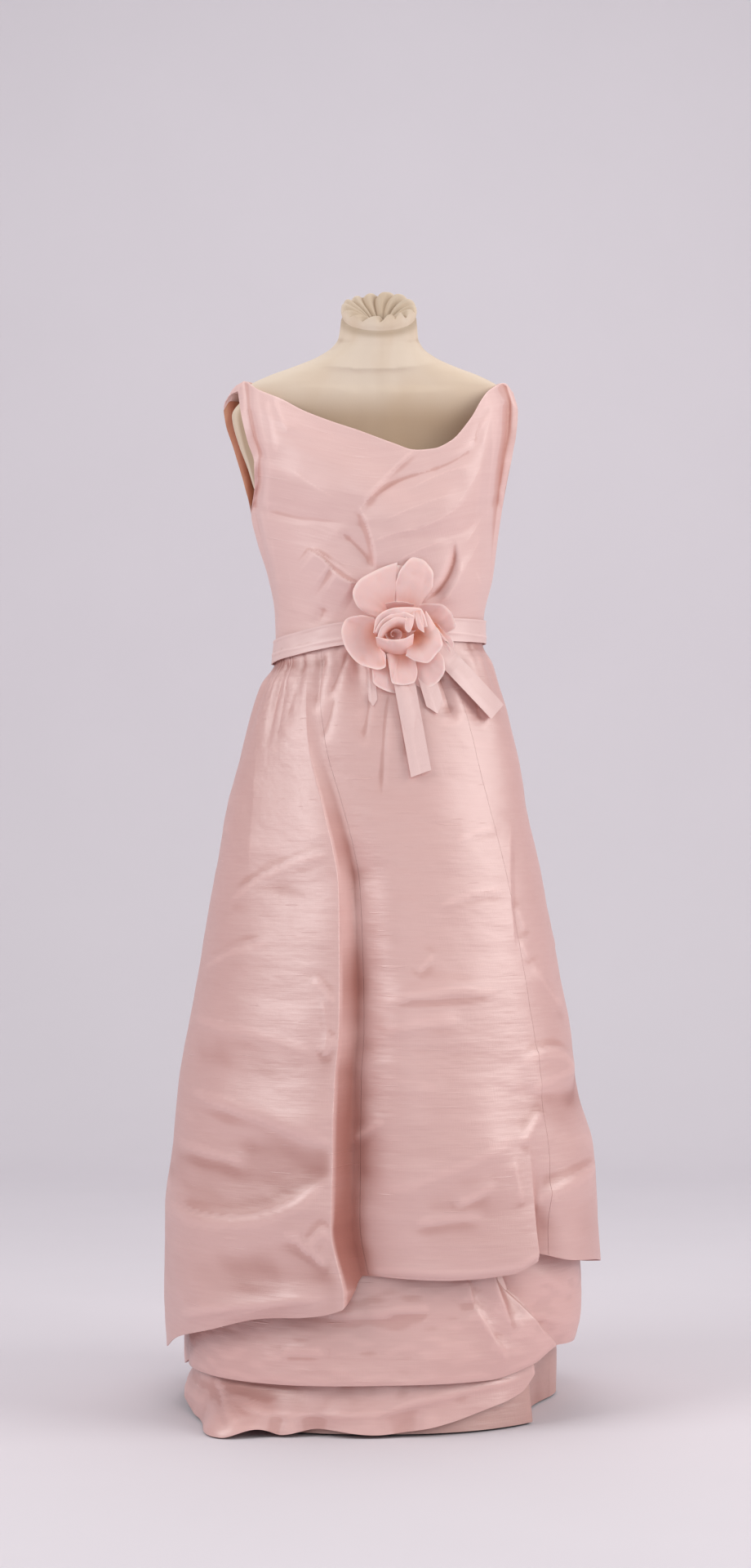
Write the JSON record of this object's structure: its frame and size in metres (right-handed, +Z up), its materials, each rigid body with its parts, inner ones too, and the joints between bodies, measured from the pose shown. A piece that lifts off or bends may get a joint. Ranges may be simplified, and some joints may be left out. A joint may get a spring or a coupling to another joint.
{
  "type": "evening dress on dress form",
  "caption": "Sleeveless evening dress with draped neckline, ribbon sash, cloth rose and tiered full-length skirt, on a limbless dress form with a pole stand.",
  "frame": {"origin": "on the floor under the middle of the stand's pole, at the centre of the base's underside", "axes": "+Z up, the front of the dress faces -Y, +X is the viewer's right seen from the front"},
  "size_m": [0.6113, 0.6251, 1.5647],
  "materials": {
    "silk": "pale pink stiff silk organza with fine crosswise slubs and a soft sheen",
    "underskirt": "tan-pink plain woven underskirt, matt",
    "lining": "salmon lining cloth, matt",
    "ribbon": "pale pink folded ribbon of the dress cloth",
    "petals": "pale pink organza petals with raw edges",
    "form_cover": "cream cotton jersey cover, matt",
    "stand_pole": "plain grey painted tube",
    "stand_base": "plain dark painted disc"
  },
  "bodies": {
    "root": {"overskirt_left": "silk", "overskirt_centre": "silk", "overskirt_right": "silk", "overskirt_back_right": "silk", "overskirt_back_left": "silk", "underskirt_front": "underskirt", "underskirt_back_right": "underskirt", "underskirt_back_left": "underskirt", "middle_flounce_front": "silk", "middle_flounce_back_right": "silk", "middle_flounce_back_left": "silk", "lower_flounce_front": "silk", "lower_flounce_back_right": "silk", "lower_flounce_back_left": "silk", "bodice_front": "silk", "bodice_back_left": "silk", "bodice_back_right": "silk", "bodice_lining": "lining", "sash_left": "ribbon", "sash_right": "ribbon", "sash_back": "ribbon", "tail_centre": "ribbon", "tail_right": "ribbon", "tail_short": "ribbon", "bud_leaf": "ribbon", "rose_pad": "petals", "petal_top_left": "petals", "petal_top_right": "petals", "petal_left": "petals", "petal_right": "petals", "petal_low_right": "petals", "petal_low": "petals", "petal_low_left": "petals", "cup_right": "petals", "cup_low": "petals", "cup_top": "petals", "rose_heart": "petals", "form_body": "form_cover", "stand_base": "stand_base", "stand_pole": "stand_pole"}
  },
  "joints": []
}
